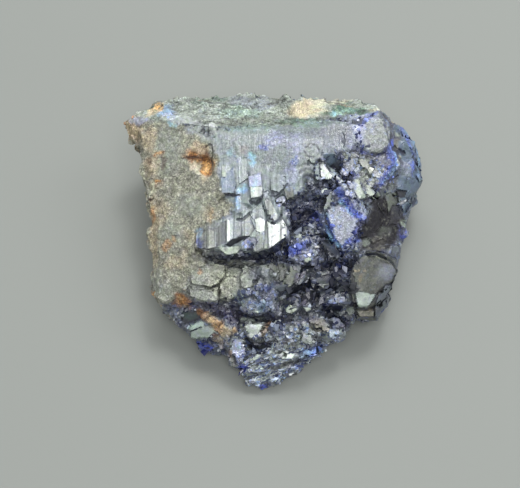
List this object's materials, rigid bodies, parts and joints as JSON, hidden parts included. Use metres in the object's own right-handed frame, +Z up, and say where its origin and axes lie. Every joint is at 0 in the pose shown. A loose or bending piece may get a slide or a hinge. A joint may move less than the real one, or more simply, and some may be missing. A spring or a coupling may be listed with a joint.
{
  "type": "azurite specimen",
  "caption": "Hand-sized lump of dark blue azurite crystals grown on weathered rock, lying on a flat broken base for display or study.",
  "frame": {"origin": "centre of the bounding box in plan, on the flat broken face that the specimen rests on", "axes": "+Z up from the resting face; +X to the right and +Y away, seen from the display side"},
  "size_m": [0.0528, 0.05, 0.0227],
  "materials": {
    "azurite": "satin"
  },
  "bodies": {
    "root": {"azurite_specimen": "azurite"}
  },
  "joints": []
}
